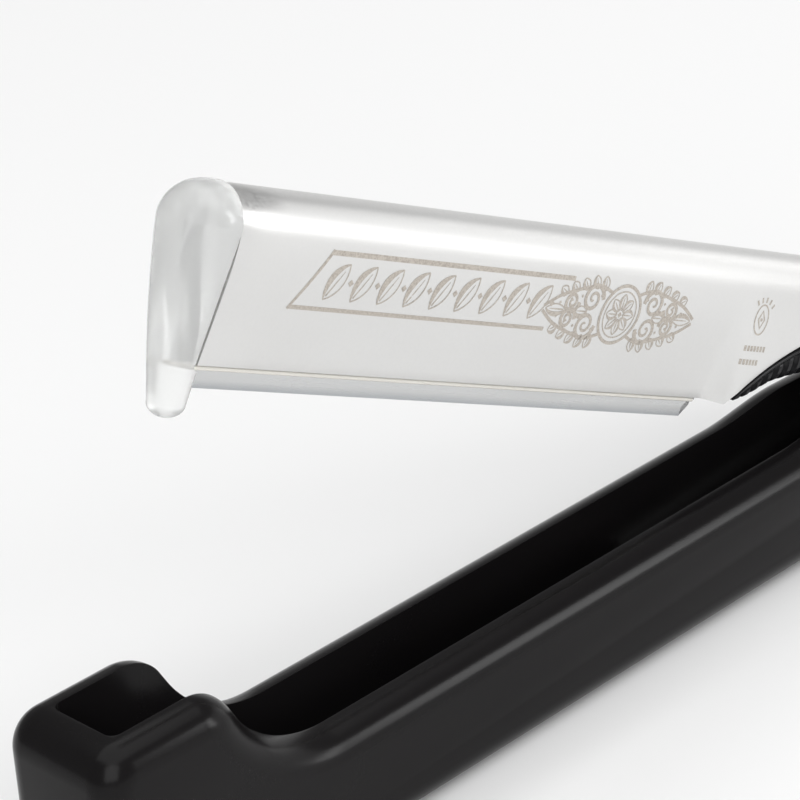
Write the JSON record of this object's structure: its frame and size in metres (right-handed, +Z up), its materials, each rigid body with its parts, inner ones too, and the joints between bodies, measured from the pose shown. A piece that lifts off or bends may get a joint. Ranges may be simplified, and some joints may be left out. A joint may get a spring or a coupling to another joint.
{
  "type": "straight razor",
  "caption": "Folding straight razor that takes a disposable blade: aluminium sleeve with a clear plastic insert, ribbed black tang with a curled tail, and a black trough-shaped handle.",
  "frame": {"origin": "centre of the razor's box, on the flat back of the handle that it stands on", "axes": "+X along the handle from its closed tail end to its pivot, +Y across the handle to its far side, +Z up out of the trough; the blade is opened 24 degrees above the handle"},
  "size_m": [0.1408, 0.0164, 0.0585],
  "materials": {
    "handle": "black moulded plastic, satin",
    "pivot_pin": "bright steel rivet",
    "outer_washer": "nickel-plated brass",
    "inner_washer": "nickel-plated brass",
    "blade_sleeve": "fine satin, with a pale etched ornament",
    "tang": "black moulded plastic",
    "lock_pin": "satin",
    "blade_insert": "clear plastic",
    "razor_blade": "ground and honed edge"
  },
  "bodies": {
    "handle_body": {"handle": "handle", "pivot_pin": "pivot_pin", "outer_washer_near": "outer_washer", "outer_washer_far": "outer_washer", "inner_washer_near": "inner_washer", "inner_washer_far": "inner_washer"},
    "blade_body": {"blade_sleeve": "blade_sleeve", "tang": "tang", "lock_pin": "lock_pin"},
    "insert_body": {"blade_insert": "blade_insert", "razor_blade": "razor_blade"}
  },
  "joints": [
    {"name": "blade_open", "type": "hinge", "parent": "handle_body", "child": "blade_body", "pos_m": [0.03877, 0, 0.00793], "axis": [0, 1, 0], "range_deg": [-22.5, 246]},
    {"name": "insert_slide", "type": "slide", "parent": "blade_body", "child": "insert_body", "axis": [-0.9135, 0, 0.4067], "range_m": [0, 0.075]}
  ]
}
